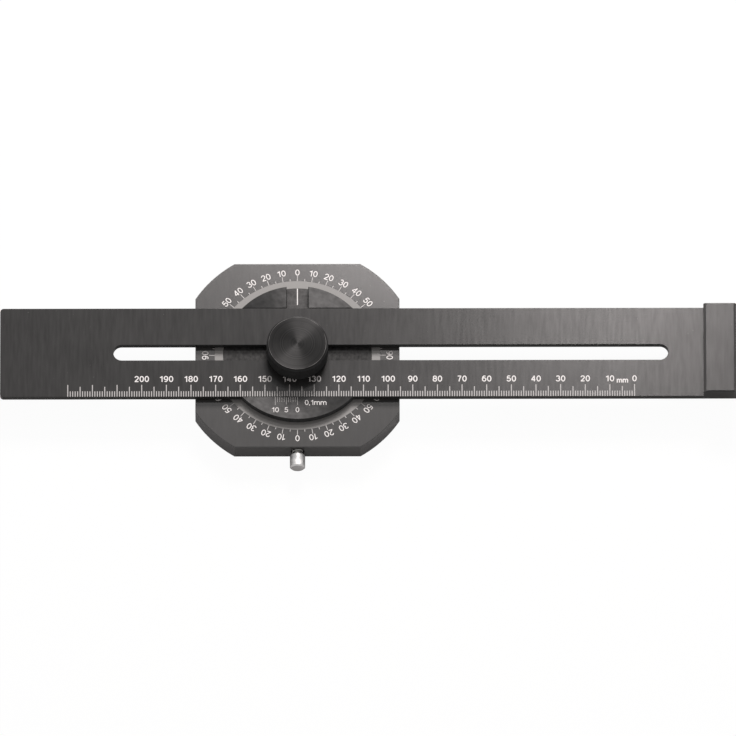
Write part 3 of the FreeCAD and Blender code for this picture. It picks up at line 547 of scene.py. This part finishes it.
SIGNS = {
    "0": (0.66, [arc(0.5, 0.5, 0.5, 0.5, 90, 450)]),
    "1": (0.54, [[(0.0, 0.78), (0.5, 0.84), (0.8, 1.0)], [(0.8, 1.06), (0.8, -0.06)]]),
    "2": (0.66, [
        arc(0.5, 0.71, 0.47, 0.29, 175, -25) + [(0.03, 0.0)],
        [(-0.06, 0.0), (1.04, 0.0)],
    ]),
    "3": (0.66, [arc(0.48, 0.76, 0.42, 0.24, 165, -80), arc(0.48, 0.265, 0.52, 0.265, 85, -170)]),
    "4": (0.70, [
        [(0.74, 1.06), (0.74, -0.06)],
        [(0.74, 1.0), (0.0, 0.27)],
        [(-0.04, 0.25), (1.04, 0.25)],
    ]),
    "5": (0.66, [
        [(0.95, 1.0), (0.14, 1.0)],
        [(0.2, 1.0), (0.06, 0.46)],
        arc(0.48, 0.31, 0.50, 0.31, 145, -165),
    ]),
    "6": (0.66, [arc(0.5, 0.32, 0.5, 0.32, 90, 450), arc(0.60, 0.46, 0.60, 0.54, 195, 60)]),
    "7": (0.64, [[(-0.04, 1.0), (1.04, 1.0)], [(0.98, 1.0), (0.55, 0.5), (0.34, -0.06)]]),
    "8": (0.66, [arc(0.5, 0.765, 0.43, 0.235, 90, 450), arc(0.5, 0.27, 0.5, 0.27, 90, 450)]),
    "9": (0.66, [arc(0.5, 0.68, 0.5, 0.32, 90, 450), arc(0.40, 0.54, 0.60, 0.54, 15, -120)]),
    ",": (0.20, [[(0.5, 0.06), (0.1, -0.2)]]),
    "m": (1.05, [
        [(0.0, 0.76), (0.0, -0.06)],
        arc(0.25, 0.42, 0.25, 0.28, 170, 0) + [(0.5, -0.06)],
        arc(0.75, 0.42, 0.25, 0.28, 170, 0) + [(1.0, -0.06)],
    ]),
}
SIGN_GAP = 0.09


def ribbon(points, width):
    """Left and right edge points of a line of even width, mitred at its corners."""
    closed = math.dist(points[0], points[-1]) < SAME_POINT
    if closed:
        points = points[:-1]
    count = len(points)
    edges = []
    for step in range(count):
        before = points[step - 1] if closed or step else None
        after = points[(step + 1) % count] if closed or step < count - 1 else None
        normals = []
        for start, end in ((before, points[step]), (points[step], after)):
            if start is None or end is None:
                continue
            length = math.dist(start, end)
            normals.append(((start[1] - end[1]) / length, (end[0] - start[0]) / length))
        sideways = Vector((sum(n[0] for n in normals), sum(n[1] for n in normals)))
        sideways.normalize()
        lean = sideways.x * normals[0][0] + sideways.y * normals[0][1]
        stretch = 1 / max(MITRE_LIMIT, lean)
        offset = sideways * width / 2 * stretch
        edges.append((Vector(points[step]) + offset, Vector(points[step]) - offset))
    if closed:
        edges.append(edges[0])
    return edges


class Inlay:
    """Flat pale shapes on one level surface, gathered into one mesh."""

    def __init__(self, level):
        self.level = level
        self.points = []
        self.faces = []
        self.strokes = 0

    def strip(self, edges):
        """Add a strip between pairs of edge points, in metres on the surface.

        Strips that follow each other lie at different heights, so that they can cross.
        """
        lift = self.level + INLAY_LIFT + (self.strokes % STROKE_LEVELS) * STROKE_STEP
        first = len(self.points)
        for left, right in edges:
            self.points.extend([(left[0], left[1], lift), (right[0], right[1], lift)])
        for step in range(len(edges) - 1):
            corner = first + 2 * step
            self.faces.append((corner, corner + 1, corner + 3, corner + 2))
        self.strokes += 1

    def line(self, start, end, width):
        self.strip(ribbon([(start[0] * MM, start[1] * MM), (end[0] * MM, end[1] * MM)], width * MM))

    def write(self, text, centre, height, stroke, turn=0.0, width=None):
        """Write a text round a centre, turned clockwise, and narrowed to a width if one is given."""
        widths = [SIGNS[sign][0] * height for sign in text]
        gap = SIGN_GAP * height
        total = sum(widths) + gap * (len(text) - 1)
        squeeze = width / total if width else 1.0
        cos_turn = math.cos(math.radians(-turn))
        sin_turn = math.sin(math.radians(-turn))
        start = -total / 2
        for sign, sign_width in zip(text, widths):
            for path in SIGNS[sign][1]:
                across = sign_width - stroke
                up = height - stroke
                flat = [
                    ((start + stroke / 2 + x * across) * squeeze, -height / 2 + stroke / 2 + y * up)
                    for x, y in path
                ]
                edges = [
                    [
                        ((centre[0] + p.x * cos_turn - p.y * sin_turn) * MM,
                         (centre[1] + p.x * sin_turn + p.y * cos_turn) * MM)
                        for p in pair
                    ]
                    for pair in ribbon(flat, stroke)
                ]
                self.strip(edges)
            start += sign_width + gap

    def build(self, name, paint, body):
        mesh = bpy.data.meshes.new(name)
        mesh.from_pydata(self.points, [], self.faces)
        mesh.materials.append(paint)
        for face in mesh.polygons:
            if face.normal.z < 0:
                face.flip()
        mesh.update()
        piece = bpy.data.objects.new(name, mesh)
        bpy.context.scene.collection.objects.link(piece)
        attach(piece, body)


READING_AT_REST = 136.8
LAST_TICK = 230
LAST_NUMBER = 200
TICK_FOOT = -19.84
TEN_TICK, FIVE_TICK, ONE_TICK = -14.55, -15.4, -17.45
TICK_WIDTH = 0.38
NUMBER_CENTRE = -11.92
NUMBER_HEIGHT = 2.75
BOLD = 0.44
UNIT_CENTRE = (131.9, -12.7)
UNIT_HEIGHT = 2.45
UNIT_WIDTH = 4.6

DEGREE_TICK_FOOT = 33.6
DEGREE_TEN, DEGREE_FIVE = 35.9, 34.55
DEGREE_TICK_WIDTH = 0.30
DEGREE_NUMBER_RADIUS = 37.45
DEGREE_NUMBER_HEIGHT = 2.7
REGULAR = 0.36

VERNIER_DIVISIONS = 10
VERNIER_STEP = 0.9
VERNIER_FOOT = -20.15
VERNIER_ENDS, VERNIER_MIDDLE, VERNIER_MINOR = -23.75, -23.39, -22.42
VERNIER_WIDTH = 0.18
VERNIER_NUMBER_CENTRE = -25.87
VERNIER_NUMBER_HEIGHT = 2.25
VERNIER_UNIT_CENTRE = (7.38, -22.6)
VERNIER_UNIT_WIDTH = 8.8
LIGHT = 0.28
CHANNEL_GAP = 0.05 * MM

INDEX_LINE = (22.7, 30.1)
INDEX_WIDTH = 0.40


def mark_beam(tick_paint, number_paint):
    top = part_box("beam")[1].z
    ticks = Inlay(top)
    numbers = Inlay(top)
    for value in range(LAST_TICK + 1):
        place = READING_AT_REST - value
        head = TEN_TICK if value % 10 == 0 else FIVE_TICK if value % 5 == 0 else ONE_TICK
        ticks.line((place, TICK_FOOT), (place, head), TICK_WIDTH)
        if value % 10 == 0 and value <= LAST_NUMBER:
            numbers.write(str(value), (place, NUMBER_CENTRE), NUMBER_HEIGHT, BOLD)
    numbers.write("mm", UNIT_CENTRE, UNIT_HEIGHT, BOLD, width=UNIT_WIDTH)
    ticks.build("beam_scale_ticks", tick_paint, "rule")
    numbers.build("beam_scale_numbers", number_paint, "rule")


def mark_plate(tick_paint, number_paint):
    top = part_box("stop_plate")[1].z
    ticks = Inlay(top)
    numbers = Inlay(top)
    for bearing in range(0, 360, 5):
        sine = math.sin(math.radians(bearing))
        cosine = math.cos(math.radians(bearing))
        head = DEGREE_TEN if bearing % 10 == 0 else DEGREE_FIVE
        foot = (DEGREE_TICK_FOOT * sine, DEGREE_TICK_FOOT * cosine)
        ticks.line(foot, (head * sine, head * cosine), DEGREE_TICK_WIDTH)
        if bearing % 10 == 0:
            value = min(bearing % 180, 180 - bearing % 180)
            centre = (DEGREE_NUMBER_RADIUS * sine, DEGREE_NUMBER_RADIUS * cosine)
            numbers.write(str(value), centre, DEGREE_NUMBER_HEIGHT, REGULAR, turn=bearing)
    ticks.build("degree_scale_ticks", tick_paint, "base")
    numbers.build("degree_scale_numbers", number_paint, "base")


def mark_disc(tick_paint, number_paint):
    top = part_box("swivel_disc")[1].z
    ticks = Inlay(top)
    numbers = Inlay(top)
    for division in range(VERNIER_DIVISIONS + 1):
        place = -division * VERNIER_STEP
        head = VERNIER_MINOR
        if division % VERNIER_DIVISIONS == 0:
            head = VERNIER_ENDS
        elif division % 5 == 0:
            head = VERNIER_MIDDLE
        ticks.line((place, VERNIER_FOOT), (place, head), VERNIER_WIDTH)
        if division % 5 == 0:
            centre = (place, VERNIER_NUMBER_CENTRE)
            numbers.write(str(division), centre, VERNIER_NUMBER_HEIGHT, LIGHT)
    numbers.write("0,1mm", VERNIER_UNIT_CENTRE, VERNIER_NUMBER_HEIGHT, LIGHT,
                  width=VERNIER_UNIT_WIDTH)
    ticks.build("vernier_ticks", tick_paint, "swivel")
    numbers.build("vernier_numbers", number_paint, "swivel")
    channel_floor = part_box("beam")[0].z - CHANNEL_GAP
    index = Inlay(channel_floor)
    index.line((0, INDEX_LINE[0]), (0, INDEX_LINE[1]), INDEX_WIDTH)
    index.build("index_line", number_paint, "swivel")


def add_spring():
    """The index spring, copied onto a mesh of its own; the code here doesn't shorten it as the
    button goes in.
    """
    source = nodes["index_spring"]
    spring = bpy.data.objects.new("index_coil", source.data.copy())
    bpy.context.scene.collection.objects.link(spring)
    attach(spring, "base")
    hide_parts("index_spring")
    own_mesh(spring)


add_camera()
add_lamp("key", KEY_PLACE, KEY_SIZE, KEY_POWER)
add_lamp("rear", REAR_PLACE, REAR_SIZE, REAR_POWER)
add_world()
add_floor()
finish_nodes()
add_spring()
tick_tone = mark_paint("tick_marks", TICK_GREY)
number_tone = mark_paint("number_marks", NUMBER_GREY)
mark_beam(tick_tone, number_tone)
mark_plate(tick_tone, number_tone)
mark_disc(tick_tone, number_tone)

scene = bpy.context.scene
scene.view_settings.view_transform = "Standard"
